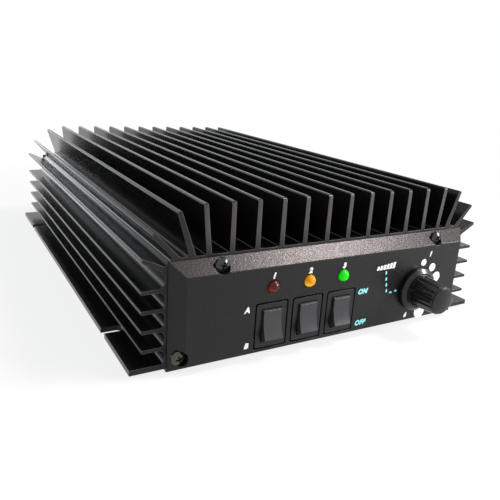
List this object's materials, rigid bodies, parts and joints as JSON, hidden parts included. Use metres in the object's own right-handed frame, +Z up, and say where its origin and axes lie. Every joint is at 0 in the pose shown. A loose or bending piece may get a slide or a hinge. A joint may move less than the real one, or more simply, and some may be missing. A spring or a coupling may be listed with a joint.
{
  "type": "hf linear amplifier",
  "caption": "Finned aluminium radio-frequency linear amplifier with slotted mounting flanges, rocker switches, indicator lamps, a stepped power knob and coaxial sockets at the rear.",
  "frame": {"origin": "middle of the underside, at the centre of the part's box", "axes": "+X to the right as seen from the front, +Y to the rear where the sockets are, +Z up out of the fins"},
  "size_m": [0.17, 0.2678, 0.0613],
  "materials": {
    "anodised_black": "black anodised extrusion, satin, with paler sawn ends and fin tips",
    "cover_black": "fine black powder coat on sheet metal",
    "panel_black": "fine-textured dark grey powder coat",
    "screw_black": "black oxide steel screws",
    "screw_nickel": "yellowish nickel plated steel",
    "switch_black": "moulded black nylon, fine matt grain",
    "rocker_black": "moulded black plastic, satin",
    "tinned_metal": "tinned pins and leads",
    "lamp_red": "clear moulded red lens, unlit",
    "lamp_amber": "clear moulded amber lens",
    "lamp_green": "clear moulded green lens, lit",
    "board_green": "green solder resist on glass epoxy",
    "selector_blue": "moulded dark blue switch body",
    "bright_metal": "plated steel, fine turned marks",
    "knob_black": "moulded black plastic, satin, with a painted pointer",
    "cap_grey": "dark grey pressed-in cap, slightly domed, satin",
    "pad_grey": "grey silicone thermal pad",
    "device_black": "moulded black epoxy",
    "clamp_aluminium": "plain milled aluminium",
    "ferrite_grey": "sintered dark grey ferrite",
    "copper": "bare copper sheet",
    "relay_blue": "moulded blue relay case",
    "coil_red": "painted iron powder ring",
    "capacitor_sleeve": "shrunk dark sleeve",
    "fuse_amber": "translucent amber plastic",
    "coax_nickel": "nickel plated brass",
    "insulator_cream": "cream white insulator",
    "gland_rubber": "soft black rubber"
  },
  "bodies": {
    "chassis": {"heatsink": "anodised_black", "bottom_cover": "cover_black", "cover_screws": "screw_black", "front_panel": "panel_black", "front_screws_top": "screw_black", "front_screws_bottom": "screw_nickel", "rear_panel": "cover_black", "rear_screws": "screw_black", "switch_housing_1": "switch_black", "switch_housing_2": "switch_black", "switch_housing_3": "switch_black", "switch_pins": "tinned_metal", "led_1": "lamp_red", "led_2": "lamp_amber", "led_3": "lamp_green", "led_leads": "tinned_metal", "control_board": "board_green", "selector_body": "selector_blue", "selector_washer": "bright_metal", "selector_nut": "bright_metal", "selector_pins": "tinned_metal", "main_board": "board_green", "board_link": "tinned_metal", "board_standoffs": "bright_metal", "board_screws": "screw_nickel", "thermal_pads": "pad_grey", "transistors": "device_black", "transistor_clamp": "clamp_aluminium", "clamp_screws": "screw_nickel", "output_transformer_cores": "ferrite_grey", "output_transformer_plates": "copper", "input_transformer": "ferrite_grey", "relays": "relay_blue", "filter_coils": "coil_red", "electrolytic_capacitors": "capacitor_sleeve", "fuse_holders": "device_black", "blade_fuses": "fuse_amber", "coax_socket_input": "coax_nickel", "coax_socket_output": "coax_nickel", "coax_insulators": "insulator_cream", "coax_contacts": "coax_nickel", "coax_screws": "screw_nickel", "power_gland": "gland_rubber", "remote_jack": "switch_black", "remote_nut": "bright_metal"},
    "rocker_left": {"rocker_1": "rocker_black"},
    "rocker_middle": {"rocker_2": "rocker_black"},
    "rocker_right": {"rocker_3": "rocker_black"},
    "power_knob": {"selector_shaft": "bright_metal", "knob": "knob_black", "knob_cap": "cap_grey"}
  },
  "joints": [
    {"name": "rocker_1_tilt", "type": "hinge", "parent": "chassis", "child": "rocker_left", "pos_m": [-0.0319, -0.1161, 0.0141], "axis": [1, 0, 0], "range_deg": [0, 20]},
    {"name": "rocker_2_tilt", "type": "hinge", "parent": "chassis", "child": "rocker_middle", "pos_m": [-0.0156, -0.1161, 0.0141], "axis": [1, 0, 0], "range_deg": [0, 20]},
    {"name": "rocker_3_tilt", "type": "hinge", "parent": "chassis", "child": "rocker_right", "pos_m": [0.0007, -0.1161, 0.0141], "axis": [1, 0, 0], "range_deg": [0, 20]},
    {"name": "power_knob_turn", "type": "hinge", "parent": "chassis", "child": "power_knob", "pos_m": [0.0421, -0.1176, 0.018], "axis": [0, 1, 0], "range_deg": [0, 150]}
  ]
}
